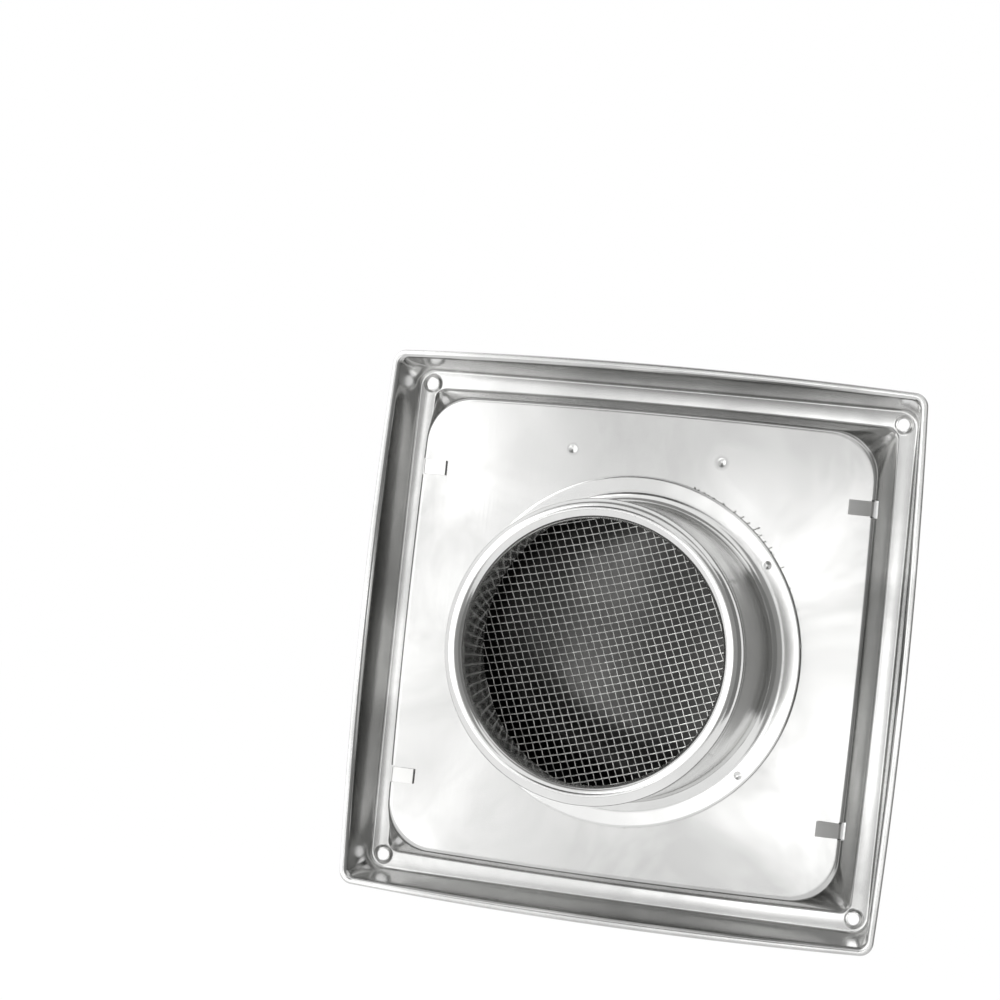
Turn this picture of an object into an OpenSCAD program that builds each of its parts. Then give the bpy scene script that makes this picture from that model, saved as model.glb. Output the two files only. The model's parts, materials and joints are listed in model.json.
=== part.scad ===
// Stainless steel exhaust vent cap for a 100 mm wall duct.
// The origin is the centre of the four screw holes, on the back face of the screw flange.
// +Y points into the wall along the duct, and +Z points up, as the cap hangs on the wall.

/* [Sheet] */
// Thickness of every pressed or rolled sheet
sheet = 0.6; // [0.5:0.05:0.7]
// Radius of the pan's folds at the middle of the sheet
fold_r = 1.1; // [0.9:0.1:1.4]

/* [Face pan] */
// Depth from the screw flange's back face to the wall plane
wall_y = 17.8; // [16:0.1:20]
// Half-size of the wall lip at its corners
lip_half = 92.2; // [92:0.1:93.5]
// How far the lip's sides bow out at their middles
lip_bow = 2.2; // [0:0.1:2.5]
// Radius of the lip's corners
lip_corner = 4.5; // [4:0.1:6]
// Half-size of the fold between the lip and the skirt
skirt_half = 90.1; // [89.5:0.1:90.5]
// How far the skirt's back edge bows out at its middles
skirt_bow = 1.8; // [0:0.1:2]
// Half-size of the fold between the skirt and the screw flange
flange_half = 87.6; // [87:0.1:88]
// How far the flange's outer edge bows out at its middles
flange_bow = 0.4; // [0:0.1:1]
// Radius of the flange's outer corners
flange_corner = 6; // [5:0.1:7]
// Half-size of the fold between the flange and the recess wall
recess_half = 80.6; // [80.3:0.1:81]
// How far the flange's inner edge bows out at its middles
recess_bow = 1.1; // [0.5:0.1:1.5]
// Radius of the flange's inner corners
recess_corner = 3.7; // [3.2:0.1:5]
// Half-size of the fold between the recess wall and the flat panel
panel_half = 77.6; // [77.5:0.1:78.2]
// How far the panel's edges bow out at their middles
panel_bow = 0.7; // [0.5:0.1:1]
// Radius of the panel's corners
panel_corner = 16.2; // [15:0.1:17]

/* [Screw holes] */
// Distance between neighbouring screw holes, both ways
hole_spacing = 165; // [164:0.5:166]
// Radius of each screw hole
hole_r = 1.95; // [1.7:0.05:2.2]
// Radius of the countersunk dimple at the flange
dimple_r = 3.2; // [3:0.1:3.4]
// Height of the dimple behind the flange
dimple_h = 0.8; // [0.6:0.05:1]

/* [Duct collar] */
// How far the duct's axis sits below the centre of the screw holes
duct_drop = 2.3; // [0:0.1:4]
// Outer radius of the collar's tube
tube_r = 49.05; // [48:0.05:49.5]
// Outer radius of the rolled bead at the collar's end
bead_r = 3.3; // [2.5:0.1:3.5]
// Depth of the collar's end behind the screw flange's back face
collar_end = 67.4; // [50:0.1:90]
// Outer radius of the curve from the tube to its mounting ring
base_r = 4.5; // [4:0.1:5]
// Outer radius of the collar's mounting ring
ring_r = 58.9; // [58:0.1:59.2]
// Radius of the duct hole in the panel
duct_hole_r = 51; // [50.5:0.1:52]

/* [Insect mesh] */
// Diameter of the mesh's wire
wire_d = 0.45; // [0.4:0.05:0.5]
// Spacing of the woven wires: ten to the inch
wire_pitch = 2.54; // [2.5:0.01:2.6]
// Wires gathered into each bar of the wall
wires_per_bar = 3; // [3:1:4]
// Radius of the cut mesh disc
mesh_r = 59.7; // [59.4:0.1:60]
// Turn of the weave out of level
mesh_turn = 18; // [0:1:45]

/* [Front hood] */
// Half-width of the hood, over its cheeks
hood_half = 77.5; // [77.2:0.1:77.6]
// Radius of the hood's upper corners
hood_corner = 15.6; // [15.4:0.1:18]
// Height of the hood's lower edge, below the screw holes' centre
hood_low = -74; // [-76:0.5:-66]
// Depth of the hood's front at its middle
hood_front = -30.6; // [-36:0.1:-26]
// Radius of the hood's bowed front
bow_r = 300; // [250:5:400]
// Radius of the rounded edge round the hood's front
edge_r = 3; // [2:0.1:5]
// Width of the folded tabs
tab_w = 5; // [4.5:0.1:5.3]
// Height of the tabs above and below the middle
tab_z = 53; // [50:0.5:56]
// Distance from the middle to the tabs' folded tips
tab_tip = 69.5; // [68:0.1:72]
// Half-width of the hood's top flange
top_flange_half = 36; // [30:1:40]
// Height of the top flange's lower edge
top_flange_low = 57; // [55:0.5:60]

/* [Spot welds] */
// Radius of each weld's shallow mark
weld_r = 1.65; // [1.2:0.05:2]
// Depth of each weld's mark
weld_depth = 0.15; // [0.1:0.01:0.2]
// Radius of the circle of welds on the collar's ring
ring_weld_r = 55.8; // [55.6:0.1:56.5]
// Angle of the ring's welds from level
ring_weld_angle = 39; // [30:1:60]
// Turn of the ring's welds as the collar was set in
ring_weld_turn = 2.2; // [0:0.1:5]
// Distance of the hood's two welds from the middle
hood_weld_x = 25.75; // [20:0.25:30]
// Height of the hood's two welds
hood_weld_z = 63.6; // [60:0.1:66]

/* [Hidden] */
$fn = 96;
mid = sheet / 2;
mesh_t = 2 * wire_d;
ring_front = wall_y - sheet;
panel_back = ring_front - mesh_t;
panel_front = panel_back - sheet;
slack = 1;

// Segments along each side, round each corner and through each fold of the pan
side_steps = 10;
corner_steps = 6;
fold_steps = 3;
pan_n = 4 * (side_steps + corner_steps);

// The slots that the hood's tabs pass through
slot_gap = 0.4;
slot_in = hood_half - sheet - 0.2;
slot_out = panel_half + 1.1;

// The hood's back edge stands clear of the recess's sloping wall
hood_back = panel_front - 2.7;
// The cheeks are cut away below, where the recess's lower corners are round
notch_up = 15;
notch_on = 10;
hood_top_steps = 16;
edge_steps = 4;

function unit(v) = v / norm(v);
function blend(a, b, t) = a + (b - a) * t;
function turned(p, angle) = [
    p.x * cos(angle) - p.y * sin(angle),
    p.x * sin(angle) + p.y * cos(angle)
];

// One rounded fold of a sheet: places on its middle line, each with its normal towards the wall
function fold(before, corner, after, radius) =
    let (
        back = unit(before - corner),
        on = unit(after - corner),
        half_angle = acos(back * on) / 2,
        reach = radius / tan(half_angle),
        centre = corner + unit(back + on) * radius / sin(half_angle),
        first = unit(corner + back * reach - centre),
        last = unit(corner + on * reach - centre),
        side = first * [-back.y, back.x] > 0 ? 1 : -1
    )
    [
        for (i = [0:fold_steps])
            let (out = unit(blend(first, last, i / fold_steps)))
            concat(centre + radius * out, side * out)
    ];

// A square with rounded corners and sides that bow out by a parabola
function outline(half, bow, corner) = [
    for (side = [0:3])
        for (p = concat(side_points(half, bow, corner), corner_points(half, corner)))
            turned(p, 90 * side)
];
function side_points(half, bow, corner) = [
    for (i = [0:side_steps - 1])
        let (s = 2 * i / side_steps - 1)
        [half + bow * (1 - s * s), s * (half - corner)]
];
function corner_points(half, corner) = [
    for (i = [0:corner_steps - 1])
        let (angle = 90 * i / corner_steps)
        [half - corner + corner * cos(angle), half - corner + corner * sin(angle)]
];

// The pan's section as half-size and depth, from the lip's edge in to the panel
lip_edge = [lip_half, wall_y - mid];
skirt_fold = [skirt_half, wall_y - mid];
flange_fold = [flange_half, -mid];
recess_fold = [recess_half, -mid];
panel_fold = [panel_half, panel_back - mid];
panel_middle = [0, panel_back - mid];
pan_path = concat(
    [concat(lip_edge, [0, 1])],
    fold(lip_edge, skirt_fold, flange_fold, fold_r),
    fold(skirt_fold, flange_fold, recess_fold, fold_r),
    fold(flange_fold, recess_fold, panel_fold, fold_r),
    fold(recess_fold, panel_fold, panel_middle, fold_r)
);
bow_by_half = [
    [panel_half, panel_bow], [recess_half, recess_bow], [flange_half, flange_bow],
    [skirt_half, skirt_bow], [lip_half, lip_bow]
];
corner_by_half = [
    [panel_half, panel_corner], [recess_half, recess_corner], [flange_half, flange_corner],
    [skirt_half, lip_corner - 1], [lip_half, lip_corner]
];

// One closed ring of the pan on the wall side (face = 1) or the front side (face = -1) of the sheet
function pan_ring(place, face) =
    let (shift = face * mid)
    [
        for (p = outline(
            place[0] + shift * place[2],
            lookup(place[0], bow_by_half),
            lookup(place[0], corner_by_half) + shift * place[2]))
            [p.x, place[1] + shift * place[3], p.y]
    ];

// Triangles that join ring after ring of n points, closed at both ends by a flat face
function ring_faces(rings, n) = concat(
    [[for (i = [n - 1:-1:0]) i]],
    [
        for (k = [0:rings - 2])
            for (i = [0:n - 1])
                for (t = quad(k * n + i, k * n + (i + 1) % n, (k + 1) * n + (i + 1) % n, (k + 1) * n + i))
                    t
    ],
    [[for (i = [0:n - 1]) (rings - 1) * n + i]]
);
function quad(a, b, c, d) = [[a, b, c], [a, c, d]];
function quad_back(a, b, c, d) = quad(d, c, b, a);

// Turns a shape drawn along +Z to lie along +Y at the duct's or the pan's axis
module along_y(x = 0, y = 0, z = 0) {
    translate([x, y, z])
        rotate([-90, 0, 0])
            children();
}

// A shallow round dish cut into a face that looks towards +Y
module weld_mark(x, y, z) {
    along_y(x, y - weld_depth, z)
        cylinder(h = weld_depth + 0.01, r1 = 0.6 * weld_r, r2 = weld_r);
}

module at_screws() {
    for (x = [-1, 1], z = [-1, 1])
        along_y(x * hole_spacing / 2, 0, z * hole_spacing / 2)
            children();
}

// The face pan is one pressed sheet: wall lip, flared skirt, screw flange, recess and flat panel
module face_pan() {
    last = len(pan_path) - 1;
    rings = concat(
        [for (i = [last:-1:0]) pan_ring(pan_path[i], -1)],
        [for (i = [0:last]) pan_ring(pan_path[i], 1)]
    );
    color("gainsboro")
        difference() {
            union() {
                polyhedron(
                    points = [for (ring = rings) for (p = ring) p],
                    faces = ring_faces(len(rings), pan_n)
                );
                at_screws()
                    translate([0, 0, -mid])
                        cylinder(h = dimple_h + mid, r1 = dimple_r + 0.1, r2 = dimple_r - 0.6);
            }
            at_screws() {
                translate([0, 0, -sheet - slack])
                    cylinder(h = sheet + dimple_h + 2 * slack, r = hole_r);
                translate([0, 0, -sheet - 0.01])
                    cylinder(h = sheet + dimple_h - 0.4, r1 = dimple_r, r2 = hole_r);
            }
            along_y(0, panel_front - slack, -duct_drop)
                cylinder(h = sheet + 2 * slack, r = duct_hole_r);
            for (side = [-1, 1], z = [-tab_z, tab_z])
                translate([side * (slot_in + slot_out) / 2, panel_back, z])
                    cube([slot_out - slot_in, 4, tab_w + 2 * slot_gap], center = true);
            for (side = [-1, 1])
                weld_mark(side * hood_weld_x, panel_back, hood_weld_z);
        }
}

// Points along an arc, from one angle to another
function arc(centre, radius, from, to, steps) = [
    for (i = [0:steps])
        let (angle = from + (to - from) * i / steps)
        centre + radius * [cos(angle), sin(angle)]
];

// The duct collar is one spun sheet: mounting ring, tube and an end rolled inwards into a bead
module duct_collar() {
    bead_centre = [tube_r - bead_r, collar_end - bead_r];
    base_centre = [tube_r + base_r, wall_y + base_r];
    curl_end = 300;
    section = concat(
        [[ring_r, ring_front], [ring_r, wall_y]],
        arc(base_centre, base_r, 270, 180, 8),
        arc(bead_centre, bead_r, 0, curl_end, 24),
        arc(bead_centre, bead_r - sheet, curl_end, 0, 24),
        arc(base_centre, base_r + sheet, 180, 270, 8)
    );
    color("silver")
        difference() {
            along_y(0, 0, -duct_drop)
                rotate_extrude()
                    polygon(section);
            for (side = [0, 180], tilt = [-1, 1])
                let (angle = side + tilt * ring_weld_angle + ring_weld_turn)
                weld_mark(ring_weld_r * cos(angle), wall_y, ring_weld_r * sin(angle) - duct_drop);
        }
}

// The insect mesh is one cut disc of woven wire, here a wall with gaps and a ridge along each bar
module insect_mesh() {
    bar_pitch = wires_per_bar * wire_pitch;
    gap = bar_pitch - wire_pitch;
    gap_reach = 6;
    ridge_reach = floor(mesh_r / bar_pitch);
    color("dimgray")
        along_y(0, panel_back, -duct_drop)
            rotate([0, 0, mesh_turn])
                difference() {
                    intersection() {
                        cylinder(h = mesh_t, r = mesh_r);
                        union() {
                            translate([0, 0, mesh_t / 2])
                                cube([2 * mesh_r + slack, 2 * mesh_r + slack, wire_d], center = true);
                            for (i = [-ridge_reach - 1:ridge_reach])
                                mesh_ridges((i + 0.5) * bar_pitch);
                        }
                    }
                    for (i = [-gap_reach:gap_reach], j = [-gap_reach:gap_reach])
                        if (norm([i, j]) <= gap_reach)
                            translate([i * bar_pitch, j * bar_pitch, mesh_t / 2])
                                cube([gap, gap, mesh_t + 2 * slack], center = true);
                }
}

// One ridge each way: across the weave on the panel's side, along it on the duct's side
module mesh_ridges(place) {
    translate([place, 0, mesh_t / 4])
        cube([2 * wire_d, 2 * mesh_r + slack, mesh_t / 2], center = true);
    translate([0, place, mesh_t * 3 / 4])
        cube([2 * mesh_r + slack, 2 * wire_d, mesh_t / 2], center = true);
}

// The hood's open outline, drawn in by an inset: up the left cheek, over the top and down the right
function hood_outline(inset) =
    let (
        centre = hood_half - hood_corner,
        radius = hood_corner - inset
    )
    concat(
        [[inset - hood_half, hood_low]],
        arc([-centre, centre], radius, 180, 90, corner_steps),
        [
            for (i = [1:hood_top_steps - 1])
                [blend(-centre, centre, i / hood_top_steps), hood_half - inset]
        ],
        arc([centre, centre], radius, 90, 0, corner_steps),
        [[hood_half - inset, hood_low]]
    );

// Depth of the bowed front: an arc about an upright axis
function bow_y(x) = hood_front + bow_r - sqrt(bow_r * bow_r - x * x);

// The hood's rings on one face of the sheet, from its back edge forward and over the front's edge
function hood_rings(inset) = concat(
    [[for (p = hood_outline(inset)) [p.x, hood_back, p.y]]],
    [
        for (k = [0:edge_steps])
            let (
                angle = 90 * k / edge_steps,
                radius = edge_r - inset
            )
            [
                for (p = hood_outline(inset + radius * (1 - cos(angle))))
                    [p.x, bow_y(p.x) + inset + radius * (1 - sin(angle)), p.y]
            ]
    ]
);

// The front's lower edge between the two rounded edges
function hood_mouth(rings) =
    let (face = rings[len(rings) - 1])
    [for (j = [2:len(face) - 3]) [face[j].x, face[j].y, hood_low]];

// The hood's shell: cheeks, top wall and bowed front, open below and behind
module hood_shell() {
    outer = hood_rings(0);
    inner = hood_rings(sheet);
    n = len(outer[0]);
    front = len(outer) - 1;
    lower = n - 4;
    inner_start = len(outer) * n;
    outer_mouth = 2 * inner_start;
    inner_mouth = outer_mouth + lower;
    outer_path = hood_edge_path(0, outer_mouth, n, front);
    inner_path = hood_edge_path(inner_start, inner_mouth, n, front);
    outer_low = mouth_path(0, outer_mouth, n, front);
    inner_low = mouth_path(inner_start, inner_mouth, n, front);
    polyhedron(
        points = concat(
            [for (ring = outer) for (p = ring) p],
            [for (ring = inner) for (p = ring) p],
            hood_mouth(outer),
            hood_mouth(inner)
        ),
        faces = concat(
            [
                for (k = [0:front - 1], j = [0:n - 2])
                    for (t = quad(k * n + j, k * n + j + 1, (k + 1) * n + j + 1, (k + 1) * n + j)) t
            ],
            [
                for (k = [0:front - 1], j = [0:n - 2])
                    let (a = inner_start + k * n + j)
                    for (t = quad_back(a, a + 1, a + n + 1, a + n)) t
            ],
            [
                for (j = [1:n - 3])
                    let (top = front * n + j)
                    for (t = quad(top, top + 1, outer_low[j], outer_low[j - 1])) t
            ],
            [
                for (j = [1:n - 3])
                    let (top = inner_start + front * n + j)
                    for (t = quad_back(top, top + 1, inner_low[j], inner_low[j - 1])) t
            ],
            [
                for (j = [0:n - 2])
                    for (t = quad(inner_start + j, inner_start + j + 1, j + 1, j)) t
            ],
            [
                for (m = [0:len(outer_path) - 2])
                    for (t = quad(outer_path[m], outer_path[m + 1], inner_path[m + 1], inner_path[m])) t
            ]
        )
    );
}

// Numbers of the points along the front's lower edge on one face, end to end
function mouth_path(start, mouth, n, front) = concat(
    [start + front * n],
    [for (j = [0:n - 5]) mouth + j],
    [start + front * n + n - 1]
);

// Numbers of the points round the whole lower edge: left cheek, front, right cheek
function hood_edge_path(start, mouth, n, front) = concat(
    [for (k = [0:front - 1]) start + k * n],
    mouth_path(start, mouth, n, front),
    [for (k = [front - 1:-1:0]) start + k * n + n - 1]
);

// One tab: it runs back from a cheek, through its slot, and lies folded on the panel's back
module hood_tab() {
    tab_back = panel_back + sheet;
    inner = hood_half - sheet;
    translate([0, 0, -tab_w / 2])
        linear_extrude(height = tab_w)
            polygon([
                [inner, hood_back - slack], [hood_half, hood_back - slack],
                [hood_half, tab_back - 0.4], [hood_half - 0.4, tab_back],
                [tab_tip, tab_back], [tab_tip, panel_back], [inner, panel_back]
            ]);
}

// The top flange turns down from the top wall and lies on the panel's front
module hood_top_flange() {
    bend = 1.5;
    inner = hood_half - sheet;
    rotate([90, 0, 90])
        translate([0, 0, -top_flange_half])
            linear_extrude(height = 2 * top_flange_half)
                polygon([
                    [hood_back - slack, hood_half], [panel_front - bend, hood_half],
                    [panel_front, hood_half - bend], [panel_front, top_flange_low],
                    [panel_front - sheet, top_flange_low], [panel_front - sheet, inner - bend + 0.3],
                    [panel_front - bend - 0.2, inner], [hood_back - slack, inner]
                ]);
}

// The slanting cut at the lower back corner of both cheeks
module hood_notch() {
    rotate([90, 0, 90])
        translate([0, 0, -hood_half - slack])
            linear_extrude(height = 2 * (hood_half + slack))
                polygon([
                    [hood_back + slack, hood_low + notch_up * (1 + slack / notch_on)],
                    [hood_back - notch_on * (1 + slack / notch_up), hood_low - slack],
                    [hood_back + slack, hood_low - slack]
                ]);
}

// The front hood is one folded sheet, held by four tabs and two spot welds
module front_hood() {
    color("lightgray")
        union() {
            difference() {
                hood_shell();
                hood_notch();
            }
            hood_top_flange();
            for (z = [-tab_z, tab_z])
                translate([0, 0, z]) {
                    hood_tab();
                    mirror([1, 0, 0])
                        hood_tab();
                }
        }
}

face_pan();
duct_collar();
insect_mesh();
front_hood();
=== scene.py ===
"""Dresses the stainless steel exhaust vent cap and lights it in a plain white studio.

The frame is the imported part's own: +Y into the wall along the duct, +Z up as the cap hangs, and the
origin at the centre of the four screw holes, on the screw flange's back face. The meshes are worked out
in millimetres and written in metres. The camera looks at the side that goes against the wall.
"""

import json
import logging
import math
from dataclasses import dataclass
from enum import Enum

import bpy
import numpy as np
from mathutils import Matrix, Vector


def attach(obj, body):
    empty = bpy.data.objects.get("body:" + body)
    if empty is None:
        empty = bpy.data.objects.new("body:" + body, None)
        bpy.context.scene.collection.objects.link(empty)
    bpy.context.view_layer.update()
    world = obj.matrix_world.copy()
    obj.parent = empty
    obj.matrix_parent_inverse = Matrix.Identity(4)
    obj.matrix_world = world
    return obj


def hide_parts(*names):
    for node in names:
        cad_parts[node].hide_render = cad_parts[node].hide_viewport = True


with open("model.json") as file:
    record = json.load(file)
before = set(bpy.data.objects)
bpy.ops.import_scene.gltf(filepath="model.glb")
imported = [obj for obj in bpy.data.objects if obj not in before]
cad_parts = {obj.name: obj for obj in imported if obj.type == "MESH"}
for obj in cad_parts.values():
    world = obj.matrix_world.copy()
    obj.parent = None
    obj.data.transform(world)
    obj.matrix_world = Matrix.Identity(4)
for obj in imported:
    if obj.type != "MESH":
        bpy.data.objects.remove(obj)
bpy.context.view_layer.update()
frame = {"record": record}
MM = 0.001
LOG = logging.getLogger("vent_cap")


def mount(name: str) -> dict:
    """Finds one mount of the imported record.

    Args:
        name: The mount's name.

    Returns:
        The mount as the record states it.
    """
    return next(m for m in frame["record"]["mounts"] if m["name"] == name)


def linear(hex_colour: str) -> tuple[float, float, float, float]:
    """Turns an sRGB hex colour into the linear colour that a shader takes.

    Args:
        hex_colour: Six hex digits after a hash.

    Returns:
        Linear red, green and blue, and an alpha of 1.
    """
    srgb = np.array([int(hex_colour[i:i + 2], 16) for i in (1, 3, 5)]) / 255
    curve = np.where(srgb <= 0.04045, srgb / 12.92, ((srgb + 0.055) / 1.055) ** 2.4)
    return (*curve.tolist(), 1.0)


@dataclass
class Shell:
    """Points and faces of one or more closed skins, in millimetres."""

    points: np.ndarray
    faces: list[list[int]]

    def volume(self) -> float:
        """Signed volume: the sum over all fans of triangles of a . (b x c) / 6."""
        total = 0.0
        for size in sorted({len(f) for f in self.faces}):
            f = np.array([f for f in self.faces if len(f) == size])
            for k in range(1, size - 1):
                a, b, c = (self.points[f[:, i]] for i in (0, k, k + 1))
                total += float(np.einsum("ij,ij->", a, np.cross(b, c))) / 6
        return total

    def facing_out(self) -> "Shell":
        """Turns every face round where the skin is inside out."""
        if self.volume() < 0:
            self.faces = [f[::-1] for f in self.faces]
        return self


def ring_quads(rows: int, columns: int, wrap_rows: bool, wrap_columns: bool) -> list[list[int]]:
    """Joins a grid of points, stored row by row, into four-sided faces.

    Args:
        rows: Number of rows.
        columns: Number of points in a row.
        wrap_rows: Whether the last row joins the first.
        wrap_columns: Whether each row's last point joins its first.

    Returns:
        The faces, as lists of point numbers.
    """
    r, c = np.meshgrid(
        np.arange(rows if wrap_rows else rows - 1),
        np.arange(columns if wrap_columns else columns - 1),
        indexing="ij",
    )
    r_on, c_on = (r + 1) % rows, (c + 1) % columns
    corners = [r * columns + c, r * columns + c_on, r_on * columns + c_on, r_on * columns + c]
    return np.stack(corners, axis=-1).reshape(-1, 4).tolist()


def hoop(grid: np.ndarray) -> Shell:
    """Closes a grid of points both ways, like a tyre.

    Args:
        grid: Points as rows, columns and three coordinates.

    Returns:
        The closed skin.
    """
    rows, columns = grid.shape[:2]
    return Shell(grid.reshape(-1, 3), ring_quads(rows, columns, True, True)).facing_out()


def plug(grid: np.ndarray) -> Shell:
    """Closes rings of points, and closes the first and the last ring with a flat face.

    Args:
        grid: Points as rings, points round a ring and three coordinates.

    Returns:
        The closed skin.
    """
    rows, columns = grid.shape[:2]
    faces = ring_quads(rows, columns, False, True)
    faces.append(list(range(columns))[::-1])
    faces.append(list(range((rows - 1) * columns, rows * columns)))
    return Shell(grid.reshape(-1, 3), faces).facing_out()


def gather(shells: list[Shell]) -> Shell:
    """Puts several skins into one, each with its own points.

    Args:
        shells: The skins.

    Returns:
        One skin that holds them all.
    """
    starts = np.cumsum([0] + [len(s.points) for s in shells])
    faces = [[i + int(start) for i in f] for s, start in zip(shells, starts) for f in s.faces]
    return Shell(np.concatenate([s.points for s in shells]), faces)


def spun(section: np.ndarray, columns: int, centre: tuple[float, float]) -> np.ndarray:
    """Spins a section about an axis along +Y.

    Args:
        section: Radius and depth of each point of the section.
        columns: Number of places round the axis.
        centre: X and Z of the axis.

    Returns:
        A grid of points: x = X + r cos a, y = depth, z = Z + r sin a.
    """
    angle = np.linspace(0, 2 * math.pi, columns, endpoint=False)
    radius, depth = section[:, :1], section[:, 1:]
    x, z = centre[0] + radius * np.cos(angle), centre[1] + radius * np.sin(angle)
    return np.stack([x, depth + 0 * angle, z], axis=-1)


def block(low: tuple[float, float, float], high: tuple[float, float, float]) -> Shell:
    """Makes a plain block, used only to cut with.

    Args:
        low: Its lowest corner.
        high: Its highest corner.

    Returns:
        The block's skin.
    """
    x = np.array([low[0], high[0], high[0], low[0]])
    z = np.array([low[2], low[2], high[2], high[2]])
    return plug(np.stack([np.stack([x, np.full(4, y), z], axis=-1) for y in (low[1], high[1])]))


def arc(centre: tuple[float, float], radius: float, start: float, end: float, steps: int) -> np.ndarray:
    """Points along an arc: centre + radius (cos a, sin a), with the angles in degrees.

    Args:
        centre: The arc's centre.
        radius: Its radius.
        start: Angle of its first point.
        end: Angle of its last point.
        steps: Number of steps between them.

    Returns:
        The points, one a row.
    """
    angle = np.radians(np.linspace(start, end, steps + 1))
    return np.array(centre) + radius * np.stack([np.cos(angle), np.sin(angle)], axis=-1)


def smooth_step(t: np.ndarray) -> np.ndarray:
    """Eases from 0 to 1: 3 t^2 - 2 t^3, held at its ends."""
    t = np.clip(t, 0, 1)
    return t * t * (3 - 2 * t)


def mesh_object(name: str, shell: Shell) -> bpy.types.Object:
    """Writes a skin into a mesh object at the origin, in metres.

    Args:
        name: The object's name.
        shell: The skin, in millimetres.

    Returns:
        The new object, linked to the scene.
    """
    mesh = bpy.data.meshes.new(name)
    mesh.from_pydata((shell.points * MM).tolist(), [], shell.faces)
    mesh.update()
    made = bpy.data.objects.new(name, mesh)
    bpy.context.scene.collection.objects.link(made)
    return made


def combine(piece: bpy.types.Object, tool: Shell, operation: str) -> None:
    """Cuts a skin out of a piece, or joins it on, for good.

    Args:
        piece: The piece that changes.
        tool: The skin that cuts or is joined on.
        operation: DIFFERENCE or UNION.
    """
    cutter = mesh_object(piece.name + "_cutter", tool)
    change = piece.modifiers.new("change", "BOOLEAN")
    change.operation = operation
    change.solver = "MANIFOLD"
    change.object = cutter
    view = bpy.context.evaluated_depsgraph_get()
    changed = bpy.data.meshes.new_from_object(piece.evaluated_get(view))
    piece.modifiers.clear()
    old = piece.data
    piece.data = changed
    bpy.data.meshes.remove(old)
    bpy.data.objects.remove(cutter)


def finish_piece(
    piece: bpy.types.Object, node: str, material: bpy.types.Material, sharp_deg: float = 35
) -> bpy.types.Object:
    """Shades a piece, gives it its material and ties it to the frame.

    Args:
        piece: The finished mesh object.
        node: The CAD node that it stands for.
        material: Its material.
        sharp_deg: Edges that turn by more than this stay sharp.

    Returns:
        The same piece.
    """
    piece.data.shade_smooth()
    piece.data.set_sharp_from_angle(angle=math.radians(sharp_deg))
    piece.data.materials.clear()
    piece.data.materials.append(material)
    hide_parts(node)
    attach(piece, "root")
    LOG.info("%s: %d points, %d faces", piece.name, len(piece.data.vertices), len(piece.data.polygons))
    return piece


class Grain(Enum):
    """Which way the fine lines of a steel surface run."""

    ACROSS = (0.04, 1.0, 1.0)
    UPRIGHT = (1.0, 1.0, 0.04)
    NONE = (1.0, 1.0, 1.0)


def add_node(
    tree: bpy.types.NodeTree, kind: str, settings: dict | None = None, **links: bpy.types.NodeSocket
) -> bpy.types.Node:
    """Adds one node, sets it and links it.

    Args:
        tree: The node tree.
        kind: The node's type name.
        settings: Its properties, and its inputs' values by socket name or number.
        **links: Sockets to link, by input name with underscores for spaces, or as in_ and a number.

    Returns:
        The new node.
    """
    made = tree.nodes.new(kind)
    for key, value in (settings or {}).items():
        if isinstance(key, int) or key in made.inputs:
            made.inputs[key].default_value = value
        else:
            setattr(made, key, value)
    for key, socket in links.items():
        place = int(key[3:]) if key.startswith("in_") else key.replace("_", " ")
        tree.links.new(socket, made.inputs[place])
    return made


def most_of(tree: bpy.types.NodeTree, *values: bpy.types.NodeSocket) -> bpy.types.NodeSocket:
    """Takes the largest of several values, two at a time.

    Args:
        tree: The node tree.
        *values: The values' sockets.

    Returns:
        The largest value's socket.
    """
    most = values[0]
    for value in values[1:]:
        most = add_node(tree, "ShaderNodeMath", {"operation": "MAXIMUM"}, in_0=most, in_1=value).outputs[0]
    return most


def empty_tree(owner: bpy.types.Material | bpy.types.World) -> bpy.types.NodeTree:
    """Switches on the nodes of a material or a world, and clears them."""
    owner.use_nodes = True
    owner.node_tree.nodes.clear()
    return owner.node_tree


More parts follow.
